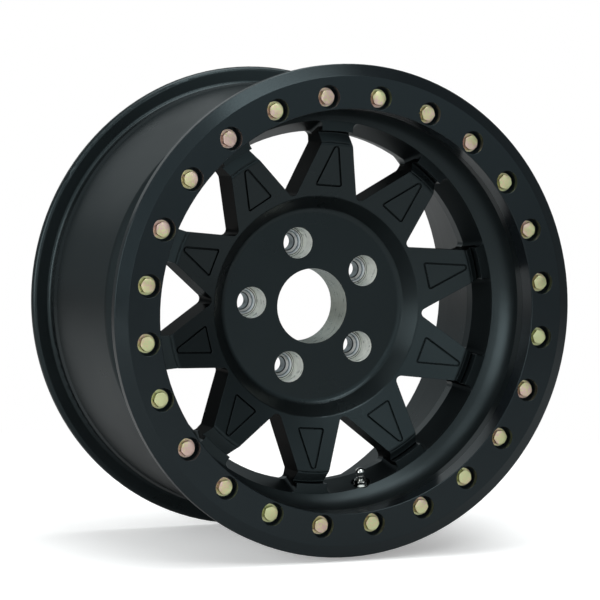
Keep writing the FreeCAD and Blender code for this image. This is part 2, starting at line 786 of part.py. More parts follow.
turned("valve_cap", [
    (cap_tip, "0"),
    (cap_tip + " + cap_dome", "cap_r", "cap_dome_r"),
    (cap_open, "cap_r"),
    (cap_open, "cap_r - cap_wall"),
    (cap_tip + " + cap_end", "cap_r - cap_wall"),
    (cap_tip + " + cap_end", "0"),
])

nut = new_body("valve_nut")
nut_sketch = hexagon(nut, "YZ_Plane", "outline", "0", "valve_nut_flats")
circle(nut_sketch, "0", "0", stem_hole)
lift(nut_sketch, bound(washer_top + " - valve_nut_height"), bound("valve_nut_turn"))
pad(nut, "block", nut_sketch, "valve_nut_height")
seat_on_rim(nut)

document.recompute()
pieces = [item for item in document.Objects if item.TypeId == "PartDesign::Body"]
for item in document.Objects:
    if "Invalid" in item.State or "Error" in item.State:
        raise RuntimeError(item.Name + " failed: " + ", ".join(item.State))
for piece in pieces:
    if piece.Shape.isNull() or not piece.Shape.isValid():
        raise RuntimeError(piece.Label + " has no sound shape")
os.makedirs("parts", exist_ok=True)
for piece in pieces:
    piece.Shape.exportStep("parts/" + piece.Label + ".step")
    print(piece.Label, len(piece.Shape.Solids), "solids", round(piece.Shape.Volume), "cubic mm")
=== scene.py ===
import bpy
import math
import numpy as np
from mathutils import Matrix, Vector


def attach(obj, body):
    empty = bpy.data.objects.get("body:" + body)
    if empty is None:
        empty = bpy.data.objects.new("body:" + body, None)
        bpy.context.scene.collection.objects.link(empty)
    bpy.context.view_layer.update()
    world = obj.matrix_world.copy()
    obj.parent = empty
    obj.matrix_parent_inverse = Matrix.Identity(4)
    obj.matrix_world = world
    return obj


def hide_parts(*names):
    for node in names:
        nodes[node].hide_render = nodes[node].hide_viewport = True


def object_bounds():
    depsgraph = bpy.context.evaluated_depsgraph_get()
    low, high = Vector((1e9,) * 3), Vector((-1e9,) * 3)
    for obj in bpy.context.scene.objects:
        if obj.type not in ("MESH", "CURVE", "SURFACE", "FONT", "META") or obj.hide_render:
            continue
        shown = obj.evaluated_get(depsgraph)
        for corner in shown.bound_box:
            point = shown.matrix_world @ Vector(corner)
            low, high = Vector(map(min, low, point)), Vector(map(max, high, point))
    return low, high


# A black beadlock wheel on a white studio floor. Metres, the CAD frame: the axle is Y, the front looks to -Y.
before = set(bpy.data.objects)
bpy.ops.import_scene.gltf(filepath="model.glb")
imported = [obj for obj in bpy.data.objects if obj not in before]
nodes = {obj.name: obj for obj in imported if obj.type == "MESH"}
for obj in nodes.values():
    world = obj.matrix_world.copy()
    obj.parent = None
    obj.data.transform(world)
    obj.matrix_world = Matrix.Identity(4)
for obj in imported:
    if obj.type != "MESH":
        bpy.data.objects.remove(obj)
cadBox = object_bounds()
scene = bpy.context.scene
print("frame loaded:", len(nodes), "nodes")

noiseSpan = (0.3, 0.7)  # where nearly all of a noise's values lie
probeRays = 6  # rays per point that feel for edges and crevices


# sRGB hex to linear
def linear(code):
    channels = [int(code[i:i + 2], 16) / 255 for i in (1, 3, 5)]
    return [c / 12.92 if c <= 0.04045 else ((c + 0.055) / 1.055) ** 2.4 for c in channels] + [1.0]


# add one node: settings by name, inputs as values or as the sockets that feed them
def addNode(tree, kind, inputs=None, **settings):
    made = tree.nodes.new(kind)
    for name, value in settings.items():
        setattr(made, name, value)
    for name, value in (inputs or {}).items():
        if isinstance(value, bpy.types.NodeSocket):
            tree.links.new(value, made.inputs[name])
        else:
            made.inputs[name].default_value = value
    return made


# give a colour ramp its stops, as (position, colour) in order
def fillRamp(ramp, pairs):
    stops = ramp.color_ramp.elements
    stops.remove(stops[1])
    stops[0].position, stops[0].color = pairs[0]
    for position, colour in pairs[1:]:
        stops.new(position).color = colour


def newMaterial(name):
    material = bpy.data.materials.new(name)
    material.use_nodes = True
    material.node_tree.nodes.clear()
    return material, material.node_tree


def finishMaterial(tree, shader):
    addNode(tree, "ShaderNodeOutputMaterial", {"Surface": shader.outputs[0]})


def dress(name, material):
    slots = nodes[name].data.materials
    slots.clear()
    slots.append(material)


# a point about the axle: its x, y and z, its place across the axle, and its distance from it
def aboutAxle(tree, place):
    parts = addNode(tree, "ShaderNodeSeparateXYZ", {0: place}).outputs
    across = addNode(tree, "ShaderNodeVectorMath", {0: place, 1: (1.0, 0.0, 1.0)}, operation="MULTIPLY")
    radius = addNode(tree, "ShaderNodeVectorMath", {0: across.outputs[0]}, operation="LENGTH")
    return parts, across.outputs[0], radius.outputs["Value"]


# Bare aluminium that the cutter left after coating: within reach of a lug hole's line or of the bore's
# line, in front of the hub's back face. Part metal and part matt, in place of the light that small bright
# walls throw at each other.
bareSet = {
    "boreTints": ("#848980", "#a8aaa1"), "roughness": (0.24, 0.4), "metal": 0.3,
    "turnPitch": 0.0011,  # a cutter's feed is finer, and is drawn this coarse to show
    "stainSize": 0.007, "mottle": (0.75, 1.25), "lugDarkest": 0.7,
    "lugCircle": 0.0635, "lugReach": 0.01508, "lugCount": 5, "lugTurn": 104.4,
    "boreReach": 0.03662, "backFace": -0.0006,
    # tones by distance from a lug hole's line, with light and shade painted in: painted shade as dark rings
    # in the corners and a dark line on the cone, painted highlights as white on the cones
    "lugPaintedLightAndShade": (
        (0.0, "#b4babe"), (0.0080, "#b4babe"),  # hole
        (0.00815, "#2c3238"), (0.0088, "#2c3238"),  # corner
        (0.0090, "#ffffff"), (0.0104, "#ffffff"),  # cone
        (0.0106, "#75828c"), (0.0111, "#75828c"),  # line on the cone
        (0.0113, "#eaf4fc"), (0.0124, "#ffffff"),  # cone
        (0.0126, "#363b3e"), (0.0131, "#363b3e"),  # corner
        (0.0133, "#d9dbd4"), (0.0141, "#d9dbd4"),  # floor
        (0.0143, "#4c514f"), (0.0148, "#4c514f"),  # corner
        (0.0149, "#f8f9f2"),  # wall
    ),
}


# Square of the distance to the nearest lug hole's line, by the law of cosines: the angle about the axle is
# folded into one hole's share of the circle.
def squareToLug(tree, parts, radius, cut):
    angle = addNode(tree, "ShaderNodeMath", {0: parts["Z"], 1: parts["X"]}, operation="ARCTAN2")
    fromLug = addNode(tree, "ShaderNodeMath", {0: angle.outputs[0], 1: math.radians(cut["lugTurn"])},
                      operation="SUBTRACT")
    share = math.pi / cut["lugCount"]
    fold = addNode(tree, "ShaderNodeMath", {0: fromLug.outputs[0], 1: share, 2: -share}, operation="WRAP")
    cosine = addNode(tree, "ShaderNodeMath", {0: fold.outputs[0]}, operation="COSINE")
    along = addNode(tree, "ShaderNodeMath", {0: radius, 1: cosine.outputs[0]}, operation="MULTIPLY")
    sides = addNode(tree, "ShaderNodeMath", {0: radius, 1: radius, 2: cut["lugCircle"] ** 2},
                    operation="MULTIPLY_ADD")
    square = addNode(tree, "ShaderNodeMath", {
        0: along.outputs[0], 1: -2 * cut["lugCircle"], 2: sides.outputs[0]}, operation="MULTIPLY_ADD")
    return square.outputs[0]


# gives where the metal is bare, how metallic it is, its tone with the lug holes' painted light and shade, and
# its roughness
def bareMetal(tree, place, parts, radius, cut):
    square = squareToLug(tree, parts, radius, cut)
    inLug = addNode(tree, "ShaderNodeMath", {0: square, 1: cut["lugReach"] ** 2}, operation="LESS_THAN")
    inBore = addNode(tree, "ShaderNodeMath", {0: radius, 1: cut["boreReach"]}, operation="LESS_THAN")
    either = addNode(tree, "ShaderNodeMath", {0: inLug.outputs[0], 1: inBore.outputs[0]}, operation="MAXIMUM")
    front = addNode(tree, "ShaderNodeMath", {0: parts["Y"], 1: cut["backFace"]}, operation="LESS_THAN")
    mask = addNode(tree, "ShaderNodeMath", {0: either.outputs[0], 1: front.outputs[0]}, operation="MULTIPLY")
    metal = addNode(tree, "ShaderNodeMath", {0: mask.outputs[0], 1: cut["metal"]}, operation="MULTIPLY")
    lines = addNode(tree, "ShaderNodeTexNoise", {
        "W": parts["Y"], "Scale": 1 / cut["turnPitch"], "Detail": 2.0}, noise_dimensions="1D")
    stains = addNode(tree, "ShaderNodeTexNoise", {
        "Vector": place, "Scale": 1 / cut["stainSize"], "Detail": 4.0})
    both = addNode(tree, "ShaderNodeMath", {0: lines.outputs["Fac"], 1: stains.outputs["Fac"]},
                   operation="ADD")
    low, high = cut["mottle"]
    shade = addNode(tree, "ShaderNodeMapRange", {
        "Value": both.outputs[0], "From Min": low, "From Max": high})
    bore = addNode(tree, "ShaderNodeMix", {
        "Factor": shade.outputs["Result"],
        "A": linear(cut["boreTints"][0]), "B": linear(cut["boreTints"][1])}, data_type="RGBA")
    # painted light and shade in the lug holes: rings of tone by the distance from the hole's line
    ring = addNode(tree, "ShaderNodeMath", {0: square, 1: cut["lugReach"] ** -2}, operation="MULTIPLY")
    rings = addNode(tree, "ShaderNodeValToRGB", {"Fac": ring.outputs[0]})
    fillRamp(rings, [((reach / cut["lugReach"]) ** 2, linear(code)) for reach, code in cut["lugPaintedLightAndShade"]])
    clouds = addNode(tree, "ShaderNodeMapRange", {
        "Value": both.outputs[0], "From Min": low, "From Max": high, "To Min": cut["lugDarkest"]})
    lug = addNode(tree, "ShaderNodeMix", {
        "Factor": 1.0, "A": rings.outputs["Color"], "B": clouds.outputs["Result"]},
        data_type="RGBA", blend_type="MULTIPLY")
    tone = addNode(tree, "ShaderNodeMix", {
        "Factor": inBore.outputs[0], "A": lug.outputs["Result"], "B": bore.outputs["Result"]},
        data_type="RGBA")
    gloss = addNode(tree, "ShaderNodeMapRange", {
        "Value": stains.outputs["Fac"], "From Min": noiseSpan[0], "From Max": noiseSpan[1],
        "To Min": cut["roughness"][0], "To Max": cut["roughness"][1]})
    return mask.outputs[0], metal.outputs[0], tone.outputs["Result"], gloss.outputs["Result"]


# Satin black powder coat on aluminium: even soft sheen with a cool cast, a very fine orange peel, edges a
# little rounded by the coat. The ring is smoother than the casting.
coatSet = {
    "black": "#080a0b", "worn": "#0c0f10", "sheen": "#dcf4fa", "roughness": (0.26, 0.34),
    "peelSize": 0.0016, "peelDepth": 0.00004, "peelStrength": 0.35, "cloudSize": 0.09, "edgeRound": 0.0006,
    # painted shade for narrow grooves: how far to feel for cover, how covered a point must be, and the
    # near-black tone painted there
    "creviceReach": 0.0022, "creviceShadeSpan": (0.75, 0.45), "paintedShadeTone": "#040505",
    "bowl": (-0.1071, -0.0744), "bowlReach": (0.1795, 0.1917), "bowlRise": 0.0119,
    "slope": (0.156, 0.178), "slopeRise": 0.026, "slopeOutward": (0.4, 0.5), "slopeRearward": -0.4,
    # the spokes' sides, which get painted shade, each as middle and spread: distance from the axle, how far
    # they look rearward, and how far outward; then how strong that painted shade is
    "sides": ((0.139, 0.0355), (0.0, 0.4), (0.25, 0.75)), "sideShade": 0.8,
}
ringSet = dict(coatSet, black="#090b0d", worn="#0d1013", roughness=(0.18, 0.25))


# The bowl behind the lip is to look a little rounder than its arc, so its sheen is turned to the front
# towards the windows: a height that rises with the depth in the bowl.
def bowlSheen(tree, depth, radius, look, normal):
    rise = addNode(tree, "ShaderNodeMapRange", {
        "Value": depth, "From Min": look["bowl"][0], "From Max": look["bowl"][1]})
    beyond = addNode(tree, "ShaderNodeMath", {0: radius, 1: look["bowlReach"][0]}, operation="GREATER_THAN")
    within = addNode(tree, "ShaderNodeMath", {0: radius, 1: look["bowlReach"][1]}, operation="LESS_THAN")
    there = addNode(tree, "ShaderNodeMath", {0: beyond.outputs[0], 1: within.outputs[0]},
                    operation="MULTIPLY")
    height = addNode(tree, "ShaderNodeMath", {0: rise.outputs["Result"], 1: there.outputs[0]},
                     operation="MULTIPLY")
    bump = addNode(tree, "ShaderNodeBump", {
        "Height": height.outputs[0], "Strength": 1.0, "Distance": look["bowlRise"], "Normal": normal})
    return bump.outputs[0]


# The slopes at the spokes' outer ends look outward and forward. Their sheen is turned to the front too: a
# height that rises with the distance from the axle.
def slopeSheen(tree, radius, rearward, outward, look, normal):
    looksOut = addNode(tree, "ShaderNodeMapRange", {
        "Value": outward, "From Min": look["slopeOutward"][0], "From Max": look["slopeOutward"][1]})
    looksAhead = addNode(tree, "ShaderNodeMath", {0: rearward, 1: look["slopeRearward"]},
                         operation="LESS_THAN")
    there = addNode(tree, "ShaderNodeMath", {0: looksOut.outputs[0], 1: looksAhead.outputs[0]},
                    operation="MULTIPLY")
    rise = addNode(tree, "ShaderNodeMapRange", {
        "Value": radius, "From Min": look["slope"][0], "From Max": look["slope"][1]})
    height = addNode(tree, "ShaderNodeMath", {0: rise.outputs["Result"], 1: there.outputs[0]},
                     operation="MULTIPLY")
    bump = addNode(tree, "ShaderNodeBump", {
        "Height": height.outputs[0], "Strength": 1.0, "Distance": look["slopeRise"], "Normal": normal})
    return bump.outputs[0]


# gives the casting's turned normal, and where the spokes' sides are for their painted shade: within the
# windows' reach, square to the front, not looking in at the axle
def castingSheen(tree, depth, across, radius, look, normal):
    facing = addNode(tree, "ShaderNodeNewGeometry").outputs["True Normal"]
    rearward = addNode(tree, "ShaderNodeSeparateXYZ", {0: facing}).outputs["Y"]
    along = addNode(tree, "ShaderNodeVectorMath", {0: facing, 1: across}, operation="DOT_PRODUCT")
    outward = addNode(tree, "ShaderNodeMath", {0: along.outputs["Value"], 1: radius},
                      operation="DIVIDE").outputs[0]
    bowl = bowlSheen(tree, depth, radius, look, normal)
    slope = slopeSheen(tree, radius, rearward, outward, look, bowl)
    near = [addNode(tree, "ShaderNodeMath", {0: value, 1: middle, 2: spread}, operation="COMPARE").outputs[0]
            for value, (middle, spread) in zip((radius, rearward, outward), look["sides"])]
    square = addNode(tree, "ShaderNodeMath", {0: near[0], 1: near[1]}, operation="MULTIPLY")
    sides = addNode(tree, "ShaderNodeMath", {0: square.outputs[0], 1: near[2]}, operation="MULTIPLY")
    return slope, sides.outputs[0]


def powderCoat(name, look, cut=None):
    material, tree = newMaterial(name)
    place = addNode(tree, "ShaderNodeTexCoord").outputs["Object"]
    peel = addNode(tree, "ShaderNodeTexNoise", {
        "Vector": place, "Scale": 1 / look["peelSize"], "Detail": 2.0})
    cloud = addNode(tree, "ShaderNodeTexNoise", {
        "Vector": place, "Scale": 1 / look["cloudSize"], "Detail": 4.0})
    colour = addNode(tree, "ShaderNodeMix", {
        "Factor": cloud.outputs["Fac"], "A": linear(look["black"]), "B": linear(look["worn"])},
        data_type="RGBA").outputs["Result"]
    roughness = addNode(tree, "ShaderNodeMapRange", {
        "Value": cloud.outputs["Fac"], "From Min": noiseSpan[0], "From Max": noiseSpan[1],
        "To Min": look["roughness"][0], "To Max": look["roughness"][1]}).outputs["Result"]
    normal = addNode(tree, "ShaderNodeBevel", {"Radius": look["edgeRound"]}, samples=probeRays).outputs[0]
    metal, sheen, dark = 0.0, linear(look["sheen"]), linear(look["paintedShadeTone"])
    # painted shade: narrow grooves, found by ambient occlusion, are darkened to near black in colour and in
    # sheen, and so are the spokes' sides
    clear = addNode(tree, "ShaderNodeAmbientOcclusion", {"Distance": look["creviceReach"]},
                    samples=probeRays, only_local=True)
    shade = addNode(tree, "ShaderNodeMapRange", {
        "Value": clear.outputs["AO"],
        "From Min": look["creviceShadeSpan"][0], "From Max": look["creviceShadeSpan"][1]}).outputs["Result"]
    if cut:
        parts, across, radius = aboutAxle(tree, place)
        normal, sides = castingSheen(tree, parts["Y"], across, radius, look, normal)
        mask, metal, bareTone, bareGloss = bareMetal(tree, place, parts, radius, cut)
        colour = addNode(tree, "ShaderNodeMix", {"Factor": mask, "A": colour, "B": bareTone},
                         data_type="RGBA").outputs["Result"]
        roughness = addNode(tree, "ShaderNodeMix", {
            "Factor": mask, "A": roughness, "B": bareGloss}).outputs["Result"]
        # the grooves' painted shade leaves out the bare metal, and the spokes' sides get painted shade too,
        # in colour and in the sheen's tint
        painted = addNode(tree, "ShaderNodeMath", {0: 1.0, 1: mask}, operation="SUBTRACT")
        groove = addNode(tree, "ShaderNodeMath", {0: shade, 1: painted.outputs[0]}, operation="MULTIPLY")
        side = addNode(tree, "ShaderNodeMath", {0: sides, 1: look["sideShade"]}, operation="MULTIPLY")
        shade = addNode(tree, "ShaderNodeMath", {0: groove.outputs[0], 1: side.outputs[0]},
                        operation="MAXIMUM").outputs[0]
        sheen = addNode(tree, "ShaderNodeMix", {"Factor": shade, "A": sheen, "B": dark},
                        data_type="RGBA").outputs["Result"]
    # painted shade: where the shade mask is full, the colour goes to the near-black tone and the metal goes
    # up, which darkens the sheen
    colour = addNode(tree, "ShaderNodeMix", {"Factor": shade, "A": colour, "B": dark},
                     data_type="RGBA").outputs["Result"]
    metal = addNode(tree, "ShaderNodeMath", {0: shade, 1: metal}, operation="MAXIMUM").outputs[0]
    bump = addNode(tree, "ShaderNodeBump", {
        "Height": peel.outputs["Fac"], "Strength": look["peelStrength"], "Distance": look["peelDepth"],
        "Normal": normal})
    shader = addNode(tree, "ShaderNodeBsdfPrincipled", {
        "Base Color": colour, "Roughness": roughness, "Metallic": metal, "Normal": bump.outputs[0],
        "IOR": 1.5, "Specular Tint": sheen})
    finishMaterial(tree, shader)
    return material


dress("wheel_body", powderCoat("powderCoatedCasting", coatSet, bareSet))
dress("beadlock_ring", powderCoat("powderCoatedRing", ringSet))

filmStops = (0.43, 0.5, 0.57)  # where each tint of a film is at its fullest


# Bright metal under a thin film: three tints that run into each other piece by piece, clouded within a piece.
def filmedMetal(name, look):
    material, tree = newMaterial(name)
    place = addNode(tree, "ShaderNodeTexCoord").outputs["Object"]
    tint = addNode(tree, "ShaderNodeTexNoise", {
        "Vector": place, "Scale": 1 / look["tintSize"], "Detail": 1.0})
    film = addNode(tree, "ShaderNodeTexNoise", {
        "Vector": place, "Scale": 1 / look["filmSize"], "Detail": 3.0})
    blend = addNode(tree, "ShaderNodeMix", {
        "Factor": look["filmShare"], "A": tint.outputs["Fac"], "B": film.outputs["Fac"]})
    ramp = addNode(tree, "ShaderNodeValToRGB", {"Fac": blend.outputs["Result"]})
    fillRamp(ramp, [(stop, linear(code)) for stop, code in zip(filmStops, look["tints"])])
    gloss = addNode(tree, "ShaderNodeMapRange", {
        "Value": film.outputs["Fac"], "From Min": noiseSpan[0], "From Max": noiseSpan[1],
        "To Min": look["roughness"][0], "To Max": look["roughness"][1]})
    edge = addNode(tree, "ShaderNodeBevel", {"Radius": look["edgeRound"]}, samples=probeRays)
    shader = addNode(tree, "ShaderNodeBsdfPrincipled", {
        "Base Color": ramp.outputs["Color"], "Metallic": 1.0, "Roughness": gloss.outputs["Result"],
        "Normal": edge.outputs[0]})
    finishMaterial(tree, shader)
    return material


# Yellow chromate on zinc-plated steel, green to gold to pink. Bright nickel on the valve. Turned brass
# inside it.
zinc = filmedMetal("yellowChromateZinc", {
    "tints": ("#f3f4bc", "#fff0be", "#ffddd0"), "roughness": (0.33, 0.48),
    "tintSize": 0.03, "filmSize": 0.002, "filmShare": 0.4, "edgeRound": 0.0002})
nickel = filmedMetal("nickelPlatedBrass", {
    "tints": ("#d9dad8", "#e2e2df", "#e9e7e2"), "roughness": (0.07, 0.16),
    "tintSize": 0.02, "filmSize": 0.002, "filmShare": 0.5, "edgeRound": 0.00015})
brass = filmedMetal("turnedBrass", {
    "tints": ("#b58e45", "#c6a25a", "#d2b473"), "roughness": (0.2, 0.34),
    "tintSize": 0.004, "filmSize": 0.0008, "filmShare": 0.5, "edgeRound": 0.0001})
dress("beadlock_washers", zinc)
dress("valve_washer", nickel)
dress("valve_core", brass)
dress("valve_pin", brass)

# Black moulded rubber: matt, with a fine grain.
rubberSet = {
    "dark": "#101010", "pale": "#1c1c1b", "roughness": 0.7,
    "grainSize": 0.0004, "grainDepth": 0.00003, "grainStrength": 0.5,
}
rubber, rubberTree = newMaterial("blackRubber")
place = addNode(rubberTree, "ShaderNodeTexCoord").outputs["Object"]
grain = addNode(rubberTree, "ShaderNodeTexNoise", {
    "Vector": place, "Scale": 1 / rubberSet["grainSize"], "Detail": 3.0})
tone = addNode(rubberTree, "ShaderNodeMix", {
    "Factor": grain.outputs["Fac"], "A": linear(rubberSet["dark"]), "B": linear(rubberSet["pale"])},
    data_type="RGBA")
bump = addNode(rubberTree, "ShaderNodeBump", {
    "Height": grain.outputs["Fac"],
    "Strength": rubberSet["grainStrength"], "Distance": rubberSet["grainDepth"]})
finishMaterial(rubberTree, addNode(rubberTree, "ShaderNodeBsdfPrincipled", {
    "Base Color": tone.outputs["Result"], "Roughness": rubberSet["roughness"], "Normal": bump.outputs[0]}))
dress("valve_seal", rubber)
print("materials done")


# A closed skin over rows of points, given as (piece, row, place around, xyz). The last row meets the first
# where the profile is a loop, else both ends are closed flat. Edges over so many degrees stay sharp.
def skin(name, rows, material, sharp, loop):
    index = np.arange(rows[..., 0].size).reshape(rows.shape[:3])
    low = index if loop else index[:, :-1]
    high = np.roll(index, -1, axis=1) if loop else index[:, 1:]
    quads = np.stack([low, np.roll(low, -1, axis=2), np.roll(high, -1, axis=2), high], axis=-1)
    faces = quads.reshape(-1, 4).tolist()
    if not loop:
        faces += index[:, 0, ::-1].tolist() + index[:, -1].tolist()
    mesh = bpy.data.meshes.new(name)
    mesh.from_pydata(rows.reshape(-1, 3).tolist(), [], faces)
    mesh.shade_smooth()
    mesh.set_sharp_from_angle(angle=math.radians(sharp))
    mesh.materials.append(material)
    made = bpy.data.objects.new(name, mesh)
    scene.collection.objects.link(made)
    return made


# even steps once round
def stepsAround(count):
    return np.linspace(0, 2 * math.pi, count, endpoint=False)


# Reach of a hexagon at an angle: half its width over flats, divided by the cosine of the angle from the
# nearest side's middle.
def hexReach(angle, flats):
    side = np.mod(angle + math.pi / 6, math.pi / 3) - math.pi / 6
    return flats / 2 / np.cos(side)


# The ring's bolts: a hexagon cut by the round at each height, every head stopped at its own turn.
boltSet = {
    "count": 24, "circle": 0.2028, "phase": 7.5, "seat": -0.1302, "flats": 0.0127,
    "around": 72, "seed": 11, "sharp": 25,
    # height over the seat, and round
    "profile": (
        (-0.0260, 0.0029), (-0.0250, 0.0039), (0.0, 0.0039),  # shank
        (0.0, 0.0061), (0.00025, 0.0069), (0.0005, 0.00726),  # washer face
        (0.0025, 0.00726), (0.0048, 0.00726),  # flats
        (0.0050, 0.0071), (0.0052, 0.0069), (0.00532, 0.0067), (0.0054, 0.0065),  # chamfer
    ),
}


# Each bolt's points turn about its own line, and that line about the axle to its place on the circle.
def boltRows(size):
    turns = np.random.default_rng(size["seed"]).uniform(0, math.pi / 3, size["count"])
    heights, rounds = np.array(size["profile"]).T
    steps = stepsAround(size["around"])
    reach = np.minimum(hexReach(steps, size["flats"]), rounds[:, None])
    swing = steps + turns[:, None]
    out = size["circle"] + reach * np.cos(swing)[:, None, :]
    side = reach * np.sin(swing)[:, None, :]
    spots = np.radians(size["phase"] + 360 / size["count"] * np.arange(size["count"]))[:, None, None]
    depth = np.broadcast_to((size["seat"] - heights)[:, None], out.shape)
    across = out * np.cos(spots) - side * np.sin(spots)
    upward = out * np.sin(spots) + side * np.cos(spots)
    return np.stack([across, depth, upward], axis=-1)


bolts = skin("beadlockBolts", boltRows(boltSet), zinc, boltSet["sharp"], False)
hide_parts("beadlock_bolts")
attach(bolts, "wheel")
print("bolts done")

# The valve's own line: where it crosses the window's wall, its way out of the wheel, and two ways across it.
valveSet = {"turn": -75.6, "radius": 0.17733, "front": -0.067, "lean": 21.8826}
turn, lean = math.radians(valveSet["turn"]), math.radians(valveSet["lean"])
radial = np.array([math.cos(turn), 0.0, math.sin(turn)])
outward = radial * math.cos(lean) + np.array([0.0, math.sin(lean), 0.0])
sideways = np.array([-math.sin(turn), 0.0, math.cos(turn)])
upright = np.cross(outward, sideways)
foot = radial * valveSet["radius"] + np.array([0.0, valveSet["front"], 0.0])


# points around the valve's line: along is (row,), reach is (row, place around)
def onValve(along, reach, steps):
    across = np.cos(steps)[:, None] * sideways + np.sin(steps)[:, None] * upright
    return (foot + along[:, None, None] * outward + reach[:, :, None] * across)[None]


# rows of a plain turned profile, given as (along, reach): the same reach all the way round
def turnedRows(profile, count):
    along, reach = np.array(profile).T
    return along, np.repeat(reach[:, None], count, 1)


# The cap: a ball-topped shell. Its side is fluted, the cosine of so many turns around, faded out at both
# ends.
capSet = {
    "tip": -0.0166, "ball": 0.005608, "round": 0.0046, "edge": -0.0142, "open": -0.0102, "bore": 0.0038,
    "floor": -0.0142, "ease": 0.0002, "poleAngle": 0.05, "pole": 0.0003, "domeRows": 14, "wallRows": 16,
    "flutes": 30, "fluteDepth": 0.00022, "fluteFade": 3, "around": 240, "sharp": 28,
}


def capRows(size):
    steps = stepsAround(size["around"])
    rim, bore, ease = size["open"], size["bore"], size["ease"]
    domeAngles = np.linspace(size["poleAngle"], math.asin(size["round"] / size["ball"]), size["domeRows"])
    domeReach = np.sin(domeAngles) * size["ball"]
    domeAlong = size["tip"] + size["ball"] - np.sqrt(size["ball"] ** 2 - domeReach ** 2)
    wallAlong = np.linspace(size["edge"] + ease, rim - ease, size["wallRows"])
    fade = np.clip(np.sin(np.linspace(0, math.pi, size["wallRows"])) * size["fluteFade"], 0, 1)
    flutes = size["fluteDepth"] * (0.5 - 0.5 * np.cos(size["flutes"] * steps))
    wallReach = size["round"] - fade[:, None] * flutes
    insideAlong, insideReach = turnedRows((
        (rim, size["round"] - ease), (rim, bore + ease), (rim - ease, bore),
        (size["floor"], bore), (size["floor"], size["pole"])), steps.size)
    along = np.concatenate([domeAlong, wallAlong, insideAlong])
    reach = np.concatenate([np.repeat(domeReach[:, None], steps.size, 1), wallReach, insideReach])
    return onValve(along, reach, steps)


cap = skin("valveCap", capRows(capSet), nickel, capSet["sharp"], False)
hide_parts("valve_cap")
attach(cap, "cap")

# The stem: a hollow turned bar. Each thread is where it starts and stops, its round and its pitch.
stemSet = {
    "threads": ((-0.0136, -0.0086, 0.0036, 0.0008), (-0.0046, 0.0032, 0.0039, 0.001)),
    "threadDepth": 0.4, "rowStep": 0.0001, "neck": 0.0029,
    "headStart": 0.01361, "head": 0.007, "headEase": 0.0004, "end": 0.01761,
    "passage": 0.0013, "coreBore": 0.00205, "coreEnd": -0.0008, "around": 64, "sharp": 35,
}


# A thread takes from its round the distance to the middle of a turn, by pitch and angle, faded out at both
# ends.
def threadRows(start, stop, reach, pitch, size, steps):
    along = np.linspace(start, stop, int((stop - start) / size["rowStep"]))
    saw = np.abs(2 * np.mod(along[:, None] / pitch + steps / (2 * math.pi), 1.0) - 1)
    fade = np.clip(np.minimum(along - start, stop - along) / pitch, 0, 1)[:, None]
    return along, reach - size["threadDepth"] * pitch * saw * fade


def stemRows(size):
    steps = stepsAround(size["around"])
    capThread, wallThread = size["threads"]
    neck = ((capThread[1], size["neck"]), (wallThread[0], size["neck"]))
    head = (
        (size["headStart"], wallThread[2]), (size["headStart"], size["head"]),
        (size["end"] - size["headEase"], size["head"]), (size["end"], size["head"] - size["headEase"]))
    inside = (
        (size["end"], size["passage"]), (size["coreEnd"], size["passage"]),
        (size["coreEnd"], size["coreBore"]), (capThread[0], size["coreBore"]))
    spans = [threadRows(*capThread, size, steps), turnedRows(neck, steps.size),
             threadRows(*wallThread, size, steps), turnedRows(head + inside, steps.size)]
    along, reach = (np.concatenate(parts) for parts in zip(*spans))
    return onValve(along, reach, steps)


stem = skin("valveStem", stemRows(stemSet), nickel, stemSet["sharp"], True)
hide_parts("valve_stem")
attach(stem, "wheel")

# The nut: a hexagon cut by the round at each place along the valve, chamfered at its free end, with a plain
# hole.
nutSet = {
    "flats": 0.011, "turn": -7.0, "around": 72, "sharp": 25,
    # place along the valve, and round
    "profile": (
        (-0.0037, 0.0043), (-0.0037, 0.0053), (-0.00355, 0.0057), (-0.0033, 0.00605),  # chamfer
        (-0.0030, 0.00628), (0.0002, 0.00628), (0.0005, 0.0060), (0.0005, 0.0043),  # flats and seat
        (0.0003, 0.00405), (-0.0035, 0.00405),  # hole
    ),
}


def nutRows(size):
    steps = stepsAround(size["around"])
    along, rounds = np.array(size["profile"]).T
    reach = np.minimum(hexReach(steps, size["flats"]), rounds[:, None])
    return onValve(along, reach, steps + math.radians(size["turn"]))


nut = skin("valveNut", nutRows(nutSet), nickel, nutSet["sharp"], True)
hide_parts("valve_nut")
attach(nut, "wheel")
print("valve done")

# White floor that keeps the wheel's shadow. To the camera it is matt and lifted near the wheel, and plain
# white farther off. To every bounced ray it is greyer.
floorSet = {
    "size": 30.0, "colour": "#ffffff", "bounced": "#b8b8b8", "lift": 0.3, "shadowReach": (0.5, 1.0),
}
half = floorSet["size"] / 2
level = cadBox[0].z
corners = [(x, y, level) for x, y in ((-half, -half), (half, -half), (half, half), (-half, half))]
floorMesh = bpy.data.meshes.new("floor")
floorMesh.from_pydata(corners, [], [(0, 1, 2, 3)])
floor = bpy.data.objects.new("floor", floorMesh)
scene.collection.objects.link(floor)
floorPaint, floorTree = newMaterial("whiteFloor")
toCamera = addNode(floorTree, "ShaderNodeLightPath").outputs["Is Camera Ray"]
place = addNode(floorTree, "ShaderNodeTexCoord").outputs["Object"]
apart = addNode(floorTree, "ShaderNodeVectorMath", {0: place}, operation="LENGTH").outputs["Value"]
far = addNode(floorTree, "ShaderNodeMapRange", {
    "Value": apart, "From Min": floorSet["shadowReach"][0], "From Max": floorSet["shadowReach"][1]})
tone = addNode(floorTree, "ShaderNodeMix", {
    "Factor": toCamera, "A": linear(floorSet["bounced"]), "B": linear(floorSet["colour"])}, data_type="RGBA")
matt = addNode(floorTree, "ShaderNodeBsdfDiffuse", {"Color": tone.outputs["Result"]})
